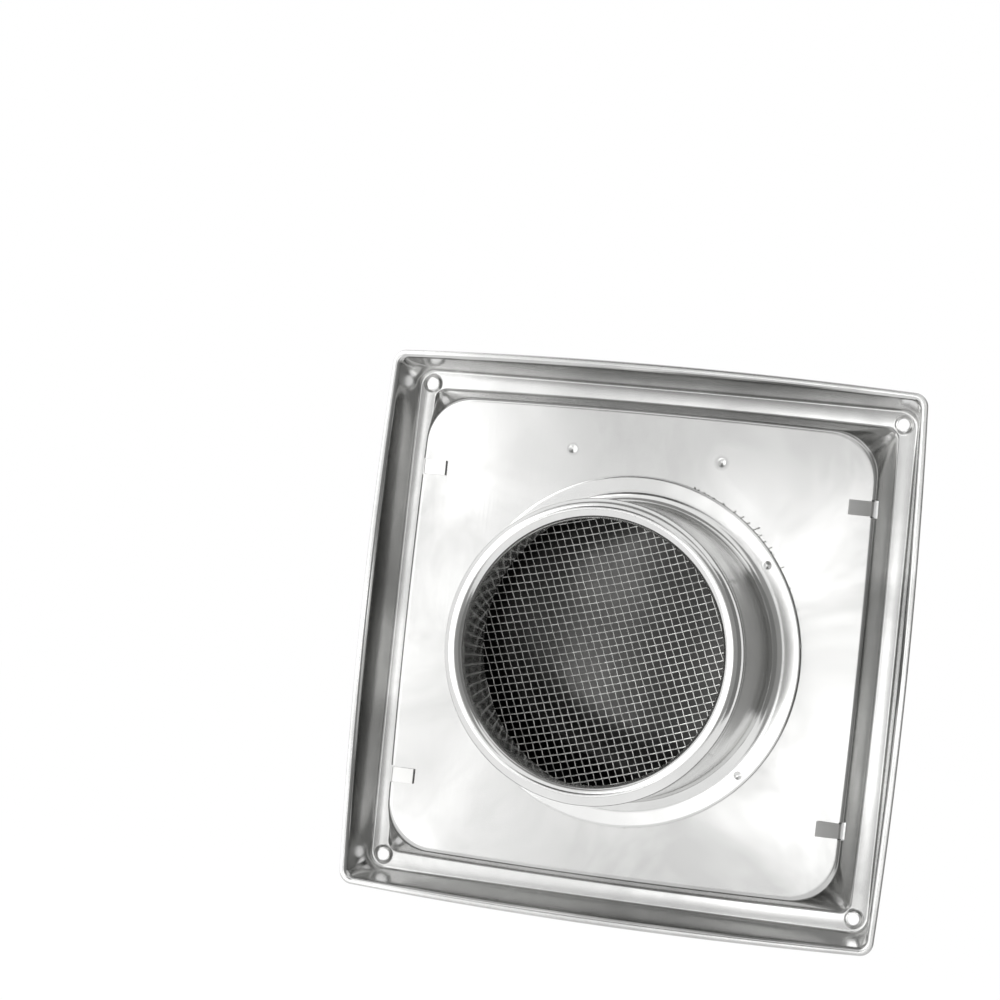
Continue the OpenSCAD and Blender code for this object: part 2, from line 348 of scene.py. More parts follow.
@dataclass(frozen=True)
class Steel:
    """Stainless steel sheet or wire: how bright, how rough and how it was worked."""

    name: str
    bright: str
    dull: str
    rough_low: float
    rough_high: float
    cloud_mm: float = 45.0
    grain: Grain = Grain.NONE
    grain_mm: float = 0.5
    grain_depth_mm: float = 0.004
    wave_mm: float = 60.0
    wave_depth_mm: float = 0.0
    welds: tuple[tuple[float, float, float], ...] = ()
    weld_ring_mm: float = 3.4

    def material(self) -> bpy.types.Material:
        """Builds the material.

        Returns:
            A metal whose colour and roughness drift in clouds, with a fine grain and a faint waviness.
        """
        material = bpy.data.materials.new(self.name)
        tree = empty_tree(material)
        place = add_node(tree, "ShaderNodeTexCoord").outputs["Object"]
        clouds = add_node(
            tree,
            "ShaderNodeTexNoise",
            {"Scale": 1 / (self.cloud_mm * MM), "Detail": 4.0, "Roughness": 0.55, "Distortion": 0.6},
            Vector=place,
        ).outputs["Fac"]
        spread = add_node(
            tree,
            "ShaderNodeMapRange",
            {"From Min": 0.3, "From Max": 0.7, "To Min": 0.0, "To Max": 1.0},
            Value=clouds,
        ).outputs["Result"]
        shade = spread
        for weld in self.welds:
            shade = self.tinted(tree, place, shade, weld)
        colours = {"data_type": "RGBA", 6: linear(self.bright), 7: linear(self.dull)}
        colour = add_node(tree, "ShaderNodeMix", colours, in_0=shade)
        rough = add_node(
            tree,
            "ShaderNodeMapRange",
            {"From Min": 0.0, "From Max": 1.0, "To Min": self.rough_low, "To Max": self.rough_high},
            Value=spread,
        ).outputs["Result"]
        metal = add_node(
            tree,
            "ShaderNodeBsdfPrincipled",
            {"Metallic": 1.0},
            Base_Color=colour.outputs[2],
            Roughness=rough,
            Normal=self.relief(tree, place),
        )
        add_node(tree, "ShaderNodeOutputMaterial", Surface=metal.outputs[0])
        return material

    def tinted(
        self,
        tree: bpy.types.NodeTree,
        place: bpy.types.NodeSocket,
        shade: bpy.types.NodeSocket,
        weld: tuple[float, float, float],
    ) -> bpy.types.NodeSocket:
        """Adds the grey heat ring round one spot weld.

        Args:
            tree: The node tree.
            place: The object coordinates.
            shade: How dull the steel is so far.
            weld: The weld's place in millimetres.

        Returns:
            How dull the steel is with the ring.
        """
        centre = tuple(c * MM for c in weld)
        away = add_node(tree, "ShaderNodeVectorMath", {"operation": "DISTANCE", 1: centre}, in_0=place)
        ring = add_node(
            tree,
            "ShaderNodeMapRange",
            {
                "interpolation_type": "SMOOTHSTEP",
                "From Min": 0.45 * self.weld_ring_mm * MM,
                "From Max": self.weld_ring_mm * MM,
                "To Min": 0.7,
                "To Max": 0.0,
            },
            Value=away.outputs["Value"],
        )
        return most_of(tree, shade, ring.outputs["Result"])

    def relief(self, tree: bpy.types.NodeTree, place: bpy.types.NodeSocket) -> bpy.types.NodeSocket:
        """Makes the fine grain and the sheet's slow waviness.

        Args:
            tree: The node tree.
            place: The object coordinates.

        Returns:
            The bumped normal.
        """
        wave = add_node(
            tree,
            "ShaderNodeTexNoise",
            {"Scale": 1 / (self.wave_mm * MM), "Detail": 1.0},
            Vector=place,
        )
        slow = add_node(
            tree,
            "ShaderNodeBump",
            {"Strength": 1.0, "Distance": self.wave_depth_mm * MM},
            Height=wave.outputs["Fac"],
        )
        stretch = add_node(tree, "ShaderNodeMapping", {"Scale": self.grain.value}, Vector=place)
        lines = add_node(
            tree,
            "ShaderNodeTexNoise",
            {"Scale": 1 / (self.grain_mm * MM), "Detail": 2.0},
            Vector=stretch.outputs[0],
        )
        return add_node(
            tree,
            "ShaderNodeBump",
            {"Strength": 1.0, "Distance": self.grain_depth_mm * MM},
            Height=lines.outputs["Fac"],
            Normal=slow.outputs[0],
        ).outputs[0]


@dataclass
class FacePan:
    """The pressed sheet: wall lip, flared skirt, screw flange, recess wall and flat panel."""

    sheet: float = 0.6
    fold_r: float = 1.1
    wall_y: float = 17.8
    lip: tuple[float, float, float] = (92.2, 2.2, 4.5)
    skirt: tuple[float, float, float] = (90.1, 1.8, 3.5)
    flange: tuple[float, float, float] = (87.6, 0.4, 6.0)
    recess: tuple[float, float, float] = (80.6, 1.1, 3.7)
    panel: tuple[float, float, float] = (77.6, 0.7, 16.2)
    flange_crown: float = 0.08
    skirt_camber: float = 0.06
    dimple_r: float = 3.3
    dimple_top_r: float = 2.35
    dimple_h: float = 0.8
    duct_hole_r: float = 51.0
    duct_drop: float = 2.3
    mesh_t: float = 0.9
    slot_x: tuple[float, float] = (76.7, 78.7)
    tab_z: float = 53.0
    slot_half: float = 2.9
    weld_at: tuple[float, float] = (25.75, 63.6)
    weld_r: float = 1.65
    weld_depth: float = 0.15
    side_steps: int = 22
    corner_steps: int = 24
    fold_steps: int = 8
    lip_steps: int = 2
    wall_steps: int = 9
    flange_steps: int = 26
    hole_sides: int = 48

    @property
    def panel_back(self) -> float:
        """Depth of the panel's face on the wall side."""
        return self.wall_y - self.sheet - self.mesh_t

    def fold(self, before: np.ndarray, corner: np.ndarray, after: np.ndarray) -> np.ndarray:
        """Rounds one fold: an arc that touches both stretches, centred on their bisector.

        Args:
            before: Half-size and depth of the fold before.
            corner: The fold's own corner.
            after: The fold after.

        Returns:
            Rows of half-size, depth and the two parts of the normal towards the wall.
        """
        back = (before - corner) / np.linalg.norm(before - corner)
        on = (after - corner) / np.linalg.norm(after - corner)
        half = math.acos(float(back @ on)) / 2
        reach = self.fold_r / math.tan(half)
        middle = (back + on) / np.linalg.norm(back + on)
        centre = corner + middle * self.fold_r / math.sin(half)
        first = (corner + back * reach - centre) / self.fold_r
        last = (corner + on * reach - centre) / self.fold_r
        sweep = math.acos(float(np.clip(first @ last, -1, 1)))
        t = np.linspace(0, 1, self.fold_steps + 1)[:, None]
        out = (np.sin((1 - t) * sweep) * first + np.sin(t * sweep) * last) / math.sin(sweep)
        side = 1.0 if first @ np.array([-back[1], back[0]]) > 0 else -1.0
        return np.hstack([centre + self.fold_r * out, side * out])

    @staticmethod
    def stretch(start: np.ndarray, end: np.ndarray, steps: int, rise: float) -> np.ndarray:
        """Fills a flat stretch between two folds, crowned by rise 4 t (1 - t) along its normal.

        Args:
            start: The last row of the fold before.
            end: The first row of the fold after.
            steps: Number of steps across.
            rise: Height of the crown.

        Returns:
            The rows between the two folds.
        """
        t = np.linspace(0, 1, steps + 1)[1:-1, None]
        rows = start + (end - start) * t
        rows[:, :2] += rise * 4 * t * (1 - t) * rows[:, 2:]
        return rows

    def section(self) -> np.ndarray:
        """The sheet's middle line from the lip's edge in to the panel.

        It starts half a sheet short of the lip's edge, because the rounded edge adds that much.

        Returns:
            Rows of half-size, depth and the two parts of the normal towards the wall.
        """
        mid = self.sheet / 2
        lip = np.array([self.lip[0], self.wall_y - mid])
        skirt = np.array([self.skirt[0], self.wall_y - mid])
        flange = np.array([self.flange[0], -mid])
        recess = np.array([self.recess[0], -mid])
        panel = np.array([self.panel[0], self.panel_back - mid])
        inner = np.array([0.0, self.panel_back - mid])
        lip_row = np.array([[lip[0] - mid, lip[1], 0.0, 1.0]])
        skirt_rows = self.fold(lip, skirt, flange)
        flange_rows = self.fold(skirt, flange, recess)
        recess_rows = self.fold(flange, recess, panel)
        panel_rows = self.fold(recess, panel, inner)
        return np.vstack(
            [
                lip_row,
                self.stretch(lip_row[0], skirt_rows[0], self.lip_steps, 0.0),
                skirt_rows,
                self.stretch(skirt_rows[-1], flange_rows[0], self.wall_steps, self.skirt_camber),
                flange_rows,
                self.stretch(flange_rows[-1], recess_rows[0], self.flange_steps, self.flange_crown),
                recess_rows,
                self.stretch(recess_rows[-1], panel_rows[0], self.wall_steps, 0.0),
                panel_rows,
            ]
        )

    def shape_at(self, half: np.ndarray) -> tuple[np.ndarray, np.ndarray]:
        """How squares of some half-sizes are shaped, in straight lines from fold to fold.

        Args:
            half: Half-size of each square at its corners.

        Returns:
            How far each one's sides bow out, and the radius of its corners.
        """
        folds = np.array([self.panel, self.recess, self.flange, self.skirt, self.lip])
        return np.interp(half, folds[:, 0], folds[:, 1]), np.interp(half, folds[:, 0], folds[:, 2])

    def outlines(self, half: np.ndarray, bow: np.ndarray, corner: np.ndarray) -> np.ndarray:
        """Squares whose sides bow out by a parabola and run smoothly into round corners.

        A side is x = half + bow (1 - s^2), z = s L. The corner's arc starts at the parabola's own slope
        there, 2 bow / L, so that the two join without a kink.

        Args:
            half: Half-size of each row at its corners.
            bow: How far each row's sides bow out.
            corner: Radius of each row's corners.

        Returns:
            X and Z of every point, as rows, places round the square and two coordinates.
        """
        half, bow, corner = half[:, None], bow[:, None], corner[:, None]
        slope = np.arctan(2 * bow / (half - corner))
        centre = half - corner * np.cos(slope)
        length = centre + corner * np.sin(slope)
        s = np.linspace(-1, 1, self.side_steps, endpoint=False)
        side = np.stack([half + bow * (1 - s * s), s * length], axis=-1)
        turn = slope + np.linspace(0, 1, self.corner_steps, endpoint=False) * (math.pi / 2 - 2 * slope)
        round_part = np.stack([centre + corner * np.cos(turn), centre + corner * np.sin(turn)], axis=-1)
        quarter = np.concatenate([side, round_part], axis=1)
        x, z = quarter[..., 0], quarter[..., 1]
        return np.concatenate([np.stack(p, axis=-1) for p in ((x, z), (-z, x), (-x, -z), (z, -x))], axis=1)

    def face(self, side: float) -> np.ndarray:
        """One face of the sheet, from the lip's edge to the duct hole.

        Args:
            side: 1 for the wall side, -1 for the front side.

        Returns:
            A grid of points.
        """
        rows = self.section()
        shift = side * self.sheet / 2
        bow, corner = self.shape_at(rows[:, 0])
        flat = self.outlines(rows[:, 0] + shift * rows[:, 2], bow, corner + shift * rows[:, 2])
        depth = (rows[:, 1] + shift * rows[:, 3])[:, None] + self.dimples(flat, rows[:, 0])
        pressed = np.stack([flat[..., 0], depth, flat[..., 1]], axis=-1)
        return np.concatenate([pressed, self.to_duct_hole(pressed[-1])])

    def dimples(self, flat: np.ndarray, half: np.ndarray) -> np.ndarray:
        """Raises the flange round each screw hole by an eased cone.

        Args:
            flat: X and Z of every point.
            half: Half-size of each row.

        Returns:
            How much deeper each point lies.
        """
        spacing = mount("wall_screws")["dims"]["spacing_x_mm"] / 2
        away = np.hypot(np.abs(flat[..., 0]) - spacing, np.abs(flat[..., 1]) - spacing)
        rise = smooth_step((self.dimple_r - away) / (self.dimple_r - self.dimple_top_r))
        on_flange = (half > self.recess[0]) & (half < self.flange[0])
        return self.dimple_h * rise * on_flange[:, None]

    def to_duct_hole(self, edge: np.ndarray) -> np.ndarray:
        """Fills the flat panel: each row lies a share of the way from its edge to the duct hole.

        Args:
            edge: The panel's outer row of points.

        Returns:
            The rows inside it, the last of them round the duct hole.
        """
        centre = np.array([0.0, edge[0, 1], -self.duct_drop])
        out = edge - centre
        rim = centre + self.duct_hole_r * out / np.linalg.norm(out, axis=1, keepdims=True)
        share = np.array([0.01, 0.04, 0.1, 0.2, 0.35, 0.5, 0.65, 0.8, 0.9, 0.96, 1.0])[:, None, None]
        return edge + (rim - edge) * share

    def lip_end(self) -> np.ndarray:
        """The lip's rounded edge, from its front face round to its wall face."""
        turn = np.radians(np.linspace(-90, 90, 7))[1:-1]
        mid = self.sheet / 2
        out = mid * np.cos(turn)
        start = np.full(len(out), self.lip[0] - mid)
        bow, corner = self.shape_at(start)
        flat = self.outlines(start + out, bow, corner + out)
        depth = self.wall_y - mid + mid * np.sin(turn)
        return np.stack([flat[..., 0], depth[:, None] + 0 * flat[..., 0], flat[..., 1]], axis=-1)

    def cuts(self) -> Shell:
        """Everything that is punched out of the sheet: slots and screw holes, and the weld marks."""
        spacing = mount("wall_screws")["dims"]["spacing_x_mm"] / 2
        hole_r = mount("wall_screws")["dims"]["hole_r_mm"]
        through = 3.0
        bore = np.array([[hole_r, -through], [hole_r, through]])
        cutters = []
        for side in (-1, 1):
            x = sorted(side * v for v in self.slot_x)
            for up in (-1, 1):
                z = up * self.tab_z
                low = (x[0], self.panel_back - through, z - self.slot_half)
                cutters.append(block(low, (x[1], self.panel_back + through, z + self.slot_half)))
                cutters.append(plug(spun(bore, self.hole_sides, (side * spacing, up * spacing))))
            x, z = side * self.weld_at[0], self.weld_at[1]
            cutters.append(dish(self.weld_r, self.weld_depth, self.panel_back, x, z))
        return gather(cutters)

    def build(self) -> bpy.types.Object:
        """Builds the pan and dresses it.

        Returns:
            The finished piece.
        """
        grid = np.concatenate([self.face(1.0), self.face(-1.0)[::-1], self.lip_end()])
        piece = mesh_object("pressed_face_pan", hoop(grid))
        combine(piece, self.cuts(), "DIFFERENCE")
        welds = tuple((side * self.weld_at[0], self.panel_back, self.weld_at[1]) for side in (-1, 1))
        # Type 304 stainless, cold rolled and pressed: bright, clouded by handling, and rippled by the
        # press, so that it bends what it reflects. The rolling lines are drawn coarser to show.
        steel = Steel(
            "cold_rolled_stainless_sheet",
            bright="#D6D6D5",
            dull="#B8B8B7",
            rough_low=0.16,
            rough_high=0.24,
            grain=Grain.UPRIGHT,
            grain_mm=0.8,
            grain_depth_mm=0.003,
            wave_mm=55,
            wave_depth_mm=0.35,
            welds=welds,
        )
        return finish_piece(piece, "face_pan", steel.material())


def dish(radius: float, depth: float, y: float, x: float, z: float) -> Shell:
    """A shallow round dish to cut into a face that looks towards +Y.

    Its floor is y - depth cos^2(90 r / radius), so that it meets the face without an edge.

    Args:
        radius: The dish's radius.
        depth: Its depth at the middle.
        y: Depth of the face that it is cut into.
        x: Its centre's X.
        z: Its centre's Z.

    Returns:
        The cutter's skin.
    """
    rings, sides, sunk, above = 9, 32, 0.005, 0.4
    r = np.linspace(0.08, 1.0, rings)
    floor = np.stack([radius * r, y - depth * np.cos(r * math.pi / 2) ** 2 - sunk], axis=-1)
    lid = np.array([[radius, y + above]])
    return plug(spun(np.vstack([floor, lid]), sides, (x, z)))


@dataclass
class DuctCollar:
    """The spun collar: mounting ring, tube and an end rolled inwards into a bead."""

    sheet: float = 0.6
    wall_y: float = 17.8
    ring_r: float = 58.9
    base_r: float = 4.5
    bead_r: float = 3.3
    curl_end: float = 300.0
    end_y: float = 67.4
    groove: tuple[float, float, float] = (62.6, 0.7, 0.22)
    duct_drop: float = 2.3
    weld_r: float = 1.65
    weld_depth: float = 0.15
    ring_weld_r: float = 55.8
    ring_weld_angle: float = 39.0
    ring_weld_turn: float = 2.2
    columns: int = 216

    def section(self) -> np.ndarray:
        """The sheet's section, out along the wall side and back along the inside.

        Returns:
            Radius and depth of each point, as one closed loop.
        """
        tube_r = mount("duct_collar")["dims"]["r_mm"]
        bead = (tube_r - self.bead_r, self.end_y - self.bead_r)
        base = (tube_r + self.base_r, self.wall_y + self.base_r)
        front = self.wall_y - self.sheet
        mid = (self.wall_y + front) / 2
        edge = arc((self.ring_r - self.sheet / 2, mid), self.sheet / 2, -90, 90, 6)
        ring_out = self.between(edge[-1], np.array([base[0], self.wall_y]), 8)
        ring_in = self.between(np.array([base[0], front]), edge[0], 8)
        tube_out = self.between(np.array([tube_r, base[1]]), np.array([tube_r, bead[1]]), 44)
        tube_out[:, 0] -= self.groove_depth(tube_out[:, 1])
        inner_r = tube_r - self.sheet
        tube_in = self.between(np.array([inner_r, bead[1]]), np.array([inner_r, base[1]]), 12)
        return np.vstack(
            [
                edge,
                ring_out,
                arc(base, self.base_r, 270, 180, 14),
                tube_out,
                arc(bead, self.bead_r, 0, self.curl_end, 44),
                arc(bead, self.bead_r - self.sheet, self.curl_end, 0, 36),
                tube_in,
                arc(base, self.base_r + self.sheet, 180, 270, 14),
                ring_in,
            ]
        )

    @staticmethod
    def between(start: np.ndarray, end: np.ndarray, steps: int) -> np.ndarray:
        """Points strictly between two points, evenly spaced."""
        return start + (end - start) * np.linspace(0, 1, steps + 1)[1:-1, None]

    def groove_depth(self, y: np.ndarray) -> np.ndarray:
        """Depth of the spinning tool's groove below the bead: depth cos^2 across its half-width."""
        centre, half_width, depth = self.groove
        t = np.clip(np.abs(y - centre) / half_width, 0, 1)
        return depth * np.cos(t * math.pi / 2) ** 2

    def weld_places(self) -> list[tuple[float, float, float]]:
        """Places of the ring's four spot welds."""
        angles = [
            math.radians(side + tilt * self.ring_weld_angle + self.ring_weld_turn)
            for side in (0, 180)
            for tilt in (-1, 1)
        ]
        r = self.ring_weld_r
        return [(r * math.cos(a), self.wall_y, r * math.sin(a) - self.duct_drop) for a in angles]

    def build(self) -> bpy.types.Object:
        """Builds the collar and dresses it.

        Returns:
            The finished piece.
        """
        grid = spun(self.section(), self.columns, (0.0, -self.duct_drop))
        piece = mesh_object("spun_duct_collar", hoop(grid))
        places = self.weld_places()
        dishes = [dish(self.weld_r, self.weld_depth, y, x, z) for x, y, z in places]
        combine(piece, gather(dishes), "DIFFERENCE")
        # Type 304 stainless, spun over a form: the tool burnishes it smoother and brighter than the pan.
        steel = Steel(
            "spun_stainless_collar",
            bright="#E8E8E7",
            dull="#DADAD9",
            rough_low=0.11,
            rough_high=0.18,
            cloud_mm=30,
            grain_mm=0.6,
            grain_depth_mm=0.0015,
            wave_mm=18,
            wave_depth_mm=0.1,
            welds=tuple(places),
        )
        return finish_piece(piece, "duct_collar", steel.material())


@dataclass
class InsectMesh:
    """The cut disc of plain woven wire, clamped between the collar's ring and the panel."""

    wire_d: float = 0.45
    pitch: float = 2.54
    weft_deg: float = 16.7
    warp_deg: float = 112.7
    weft_curve: float = 0.00105
    disc_r: float = 58.6
    disc_shift: tuple[float, float] = (0.35, 0.25)
    ring_r: float = 58.9
    curl: float = 0.35
    duct_drop: float = 2.3
    level: float = 16.75
    steps_per_pitch: int = 4
    sides: int = 6
    trim_mm: tuple[float, float] = (-0.9, 0.3)
    ragged_at_deg: tuple[float, float] = (52, 30)
    ragged_mm: tuple[float, float] = (-0.3, 3.0)
    below_at_deg: tuple[float, float] = (-85, 18)
    below_mm: float = 0.9
    seed: int = 7

    def place(self, a: np.ndarray, b: np.ndarray, height: np.ndarray) -> np.ndarray:
        """Where the weave's own coordinates lie on the part.

        The weave is skewed: u = p (a cos f + b cos g) and v = p (a sin f + b sin g) + c u^2, with f and g
        the two directions. Seen from behind, u runs to the right, so that x is -u.

        Args:
            a: Number of pitches along the weft.
            b: Number of pitches along the warp.
            height: Height above the weave's middle plane.

        Returns:
            Points in the part's frame.
        """
        f, g = math.radians(self.weft_deg), math.radians(self.warp_deg)
        u = self.pitch * (a * math.cos(f) + b * math.cos(g))
        v = self.pitch * (a * math.sin(f) + b * math.sin(g))
        v = v + self.weft_curve * u * u - self.duct_drop
        return np.stack([-u, self.level + height, v], axis=-1)

    def wire(self, number: int, is_weft: bool, rng: np.random.Generator) -> Shell | None:
        """One crimped wire, cut off at the disc's edge.

        Its middle line rises and falls as half a wire's diameter times cos(180 (t + number)), one way
        for the weft and the other for the warp, so that the two just touch where they cross. Only a wire
        that crosses the disc's edge steeply, by the squared cosine to the radius, stands out past it,
        and past the ring it springs up by curl for each millimetre.

        Args:
            number: The wire's number from the middle.
            is_weft: Whether it runs along the weft.
            rng: The source of the hand-cut ends' lengths.

        Returns:
            The wire's skin, or nothing where it misses the disc.
        """
        reach = int(self.disc_r / self.pitch) + 3
        t = np.arange(-reach * self.steps_per_pitch, reach * self.steps_per_pitch + 1) / self.steps_per_pitch
        fixed = np.full_like(t, number)
        wave = self.wire_d / 2 * np.cos(math.pi * (t + number)) * (1 if is_weft else -1)
        line = self.place(t, fixed, wave) if is_weft else self.place(fixed, t, wave)
        u = -line[:, 0] - self.disc_shift[0]
        v = line[:, 2] + self.duct_drop - self.disc_shift[1]
        away = np.hypot(u, v)
        du, dv = np.gradient(u), np.gradient(v)
        steep = (u * du + v * dv) ** 2 / (np.maximum(away, 1) ** 2 * (du**2 + dv**2))
        kept = away < self.disc_r + steep * self.spare(u, v, rng)
        if kept.sum() < 3:
            return None
        line, away = line[kept], away[kept]
        line[:, 1] += self.curl * np.clip(away - self.ring_r, 0, None)
        along = np.gradient(line, axis=0)
        along /= np.linalg.norm(along, axis=1, keepdims=True)
        side = np.cross(along, np.array([0.0, 1.0, 0.0]))
        side /= np.linalg.norm(side, axis=1, keepdims=True)
        up = np.cross(side, along)
        angle = np.linspace(0, 2 * math.pi, self.sides, endpoint=False)[:, None]
        ring = self.wire_d / 2 * (np.cos(angle) * side[:, None] + np.sin(angle) * up[:, None])
        return plug(line[:, None] + ring)

    def spare(self, u: np.ndarray, v: np.ndarray, rng: np.random.Generator) -> np.ndarray:
        """How far past the disc's edge a wire runs.

        It is more by two bell curves: one at the upper right, as seen from behind, where the disc was
        cut most roughly, and a lower one at the bottom.

        Args:
            u: Places along the wire, to the right as seen from behind.
            v: The same places, upwards.
            rng: The source of the cut ends' lengths.

        Returns:
            The spare length at each place.
        """
        angle = np.degrees(np.arctan2(v, u))
        ragged, below = (
            np.exp(-(((angle - middle) / width) ** 2))
            for middle, width in (self.ragged_at_deg, self.below_at_deg)
        )
        low, high = rng.uniform(*self.trim_mm, 2)
        extra = np.where(u > 0, low, high)
        return extra + self.below_mm * below + ragged * rng.uniform(*self.ragged_mm)

    def build(self) -> bpy.types.Object:
        """Weaves the disc and dresses it.

        Returns:
            The finished piece.
        """
        rng = np.random.default_rng(self.seed)
        reach = int(self.disc_r / self.pitch) + 2
        wires = [
            self.wire(number, is_weft, rng)
            for is_weft in (True, False)
            for number in range(-reach, reach + 1)
        ]
        piece = mesh_object("woven_insect_mesh", gather([w for w in wires if w is not None]))
        # Type 304 stainless wire, drawn and woven: smooth, so that its crowns glint over dark gaps.
        steel = Steel(
            "drawn_stainless_wire",
            bright="#F0F0EE",
            dull="#C8C8C6",
            rough_low=0.14,
            rough_high=0.26,
            cloud_mm=9,
            grain_mm=0.4,
            grain_depth_mm=0.002,
        )
        return finish_piece(piece, "insect_mesh", steel.material(), sharp_deg=70)


@dataclass
class FrontHood:
    """The folded hood: two cheeks, a top wall and a bowed front, with its tabs and top flange."""

    sheet: float = 0.6
    half: float = 77.5
    corner: float = 15.6
    low: float = -74.0
    front: float = -30.6
    bow_r: float = 300.0
    edge_r: float = 3.0
    panel_back: float = 16.3
    back_gap: float = 2.7
    notch_up: float = 15.0
    notch_on: float = 10.0
    tab_w: float = 5.0
    tab_z: float = 53.0
    tab_tip: float = 69.5
    tab_lift_deg: tuple[float, float] = (9.0, 3.0)
    tab_bend_r: float = 0.7
    tab_tip_r: float = 0.2
    flange_half: float = 36.0
    flange_low: float = 57.0
    flange_bend: float = 1.5
    corner_steps: int = 16
    top_steps: int = 40
    edge_steps: int = 8

    @property
    def back(self) -> float:
        """Depth of the cheeks' back edge."""
        return self.panel_back - self.sheet - self.back_gap

    def outline(self, inset: float) -> np.ndarray:
        """The hood's open outline, up the left cheek, over the top and down the right cheek.

        Args:
            inset: How far inside the outer face it runs.

        Returns:
            X and Z of each point.
        """
        centre = self.half - self.corner
        radius = self.corner - inset
        top = np.linspace(-centre, centre, self.top_steps + 1)[1:-1]
        return np.vstack(
            [
                [[inset - self.half, self.low]],
                arc((-centre, centre), radius, 180, 90, self.corner_steps),
                np.stack([top, np.full_like(top, self.half - inset)], axis=-1),
                arc((centre, centre), radius, 90, 0, self.corner_steps),
                [[self.half - inset, self.low]],
            ]
        )

    def bow(self, x: np.ndarray) -> np.ndarray:
        """Depth of the bowed front: front + R - sqrt(R^2 - x^2)."""
        return self.front + self.bow_r - np.sqrt(self.bow_r**2 - x**2)

    def rings(self, inset: float) -> np.ndarray:
        """One face of the sheet, from the back edge forward and over the rounded front edge.

        Args:
            inset: 0 for the outer face, or the sheet's thickness for the inner one.

        Returns:
            A grid of points: rows forward, columns along the outline.
        """
        back = self.outline(inset)
        rows = [np.stack([back[:, 0], np.full(len(back), self.back), back[:, 1]], axis=-1)]
        radius = self.edge_r - inset
        for angle in np.radians(np.linspace(0, 90, self.edge_steps + 1)):
            edge = self.outline(inset + radius * (1 - math.cos(angle)))
            depth = self.bow(edge[:, 0]) + inset + radius * (1 - math.sin(angle))
            rows.append(np.stack([edge[:, 0], depth, edge[:, 1]], axis=-1))
        return np.stack(rows)

    def skin(self) -> Shell:
        """The hood's shell, open below and behind.

        Each face is the grid over the cheeks and top, and the front as upright strips from the rounded
        edge down to the lower edge. The two faces are joined along the back edge and the lower edge.

        Returns:
            The closed skin.
        """
        outer, inner = self.rings(0.0), self.rings(self.sheet)
        rows, n = outer.shape[:2]
        last = (rows - 1) * n
        size = rows * n
        mouths = [np.array([[p[0], p[1], self.low] for p in g[-1, 2:-2]]) for g in (outer, inner)]
        mouth_n = len(mouths[0])
        points = np.vstack([outer.reshape(-1, 3), inner.reshape(-1, 3), *mouths])
        faces: list[list[int]] = []
        lows = []
        for start, mouth, turn in ((0, 2 * size, 1), (size, 2 * size + mouth_n, -1)):
            low = [start + last, *range(mouth, mouth + mouth_n), start + last + n - 1]
            lows.append(low)
            grid = [[start + i for i in q] for q in ring_quads(rows, n, False, False)]
            grid += [
                [start + last + j, start + last + j + 1, low[j], low[j - 1]] for j in range(1, n - 2)
            ]
            faces += [q[::turn] for q in grid]
        faces += [[size + j, size + j + 1, j + 1, j] for j in range(n - 1)]
        paths = []
        for start, low in zip((0, size), lows):
            down = [start + k * n for k in range(rows - 1)]
            up = [start + k * n + n - 1 for k in range(rows - 2, -1, -1)]
            paths.append(down + low + up)
        out, into = paths
        faces += [[out[m], out[m + 1], into[m + 1], into[m]] for m in range(len(out) - 1)]
        return Shell(points, faces).facing_out()

    @staticmethod
    def pressed(flat: np.ndarray, start: float, end: float, along: str) -> Shell:
        """Carries a flat outline along X or Z.

        Args:
            flat: The outline's points, as X and Y or as Z and Y.
            start: Where the strip starts.
            end: Where it ends.
            along: The axis that it runs along, x or z.

        Returns:
            The strip's skin.
        """
        rows = []
        for place in (start, end):
            fixed = np.full(len(flat), place)
            parts = [fixed, flat[:, 1], flat[:, 0]] if along == "x" else [flat[:, 0], flat[:, 1], fixed]
            rows.append(np.stack(parts, axis=-1))
        return plug(np.stack(rows))

    def tab(self, side: int, z: float) -> Shell:
        """One tab: back from the cheek, round its bend and over the panel, sprung up by a few degrees.

        Args:
            side: -1 for the left cheek, 1 for the right.
            z: The tab's height.

        Returns:
            The tab's skin.
        """
        inner = self.half - self.sheet
        top = self.panel_back + self.sheet
        bend_r = self.tab_bend_r
        lift_deg = self.tab_lift_deg[0 if side < 0 else 1]
        bend = arc((self.half - bend_r, top - bend_r), bend_r, 0, 90 - lift_deg, 6)
        lift = math.radians(lift_deg)
        tip = bend[-1, 1] + (bend[-1, 0] - self.tab_tip) * math.tan(lift)
        worn = self.tab_tip_r
        flat = np.vstack(
            [
                [[inner, self.back - 1], [self.half, self.back - 1]],
                bend,
                [[self.tab_tip + worn, tip - worn * math.tan(lift)], [self.tab_tip, tip - worn]],
                [[self.tab_tip, tip - self.sheet / math.cos(lift)], [inner, self.panel_back]],
            ]
        )
        flat[:, 0] *= side
        return self.pressed(flat, z - self.tab_w / 2, z + self.tab_w / 2, "z")

    def top_flange(self) -> Shell:
        """The flange that turns down from the top wall and lies on the panel's front.

        Returns:
            The flange's skin.
        """
        front = self.panel_back - self.sheet
        inner = self.half - self.sheet
        bend = self.flange_bend
        flat = np.vstack(
            [
                [[self.half, self.back - 1]],
                arc((self.half - bend, front - bend), bend, 0, 90, 6),
                [[self.flange_low, front], [self.flange_low, front - self.sheet]],
                arc((self.half - bend, front - bend), bend - self.sheet, 90, 0, 6),
                [[inner, self.back - 1]],
            ]
        )
        return self.pressed(flat, -self.flange_half, self.flange_half, "x")

